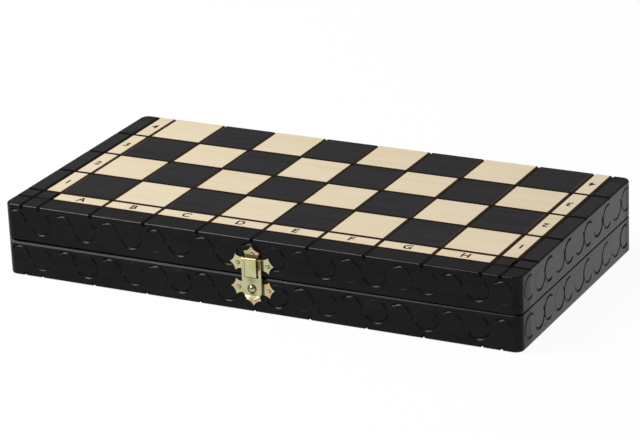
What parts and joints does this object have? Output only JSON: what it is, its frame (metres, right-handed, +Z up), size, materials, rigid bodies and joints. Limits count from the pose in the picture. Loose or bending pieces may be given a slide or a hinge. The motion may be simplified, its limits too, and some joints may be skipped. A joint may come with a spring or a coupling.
{
  "type": "folding chess box",
  "caption": "Folding chess box: two hinged wooden trays whose outer faces form the chess board, held shut by a small snap hasp.",
  "frame": {"origin": "middle of the closed box's underside, where it rests", "axes": "+X along the hinge and the files, from the A side to the H side; +Y from the hasp to the hinges; +Z up"},
  "size_m": [0.354, 0.186, 0.048],
  "materials": {
    "black_stained_wood": "black stain, satin lacquer",
    "light_veneer": "pale birch, satin lacquer",
    "dark_veneer": "charcoal stain, satin lacquer",
    "felt": "pressed wool felt",
    "hinge_steel": "brass plated, dull",
    "screw_steel": "brass plated",
    "hasp_metal": "yellow passivated, slightly iridescent",
    "nail_metal": "yellow passivated"
  },
  "bodies": {
    "case": {"case_front_wall": "black_stained_wood", "case_rear_wall": "black_stained_wood", "case_left_wall": "black_stained_wood", "case_right_wall": "black_stained_wood", "case_panel": "black_stained_wood", "case_light_squares": "light_veneer", "case_dark_squares": "dark_veneer", "case_strips": "light_veneer", "case_felt": "felt", "left_hinge_case_leaf": "hinge_steel", "right_hinge_case_leaf": "hinge_steel", "left_hinge_pin": "hinge_steel", "right_hinge_pin": "hinge_steel", "case_hinge_screws": "screw_steel", "catch_plate": "hasp_metal", "catch_stud": "hasp_metal", "catch_nails": "nail_metal"},
    "lid": {"lid_front_wall": "black_stained_wood", "lid_rear_wall": "black_stained_wood", "lid_left_wall": "black_stained_wood", "lid_right_wall": "black_stained_wood", "lid_panel": "black_stained_wood", "lid_light_squares": "light_veneer", "lid_dark_squares": "dark_veneer", "lid_strips": "light_veneer", "lid_felt": "felt", "left_hinge_lid_leaf": "hinge_steel", "right_hinge_lid_leaf": "hinge_steel", "lid_hinge_screws": "screw_steel", "hasp_plate": "hasp_metal", "hasp_nails": "nail_metal"},
    "hasp": {"hasp_flap": "hasp_metal"}
  },
  "joints": [
    {"name": "lid_hinge", "type": "hinge", "parent": "case", "child": "lid", "pos_m": [0, 0.09025, 0.024], "axis": [-1, 0, 0], "range_deg": [0, 180]},
    {"name": "hasp_hinge", "type": "hinge", "parent": "lid", "child": "hasp", "pos_m": [0, -0.09148, 0.0349], "axis": [-1, 0, 0], "range_deg": [0, 115]}
  ]
}
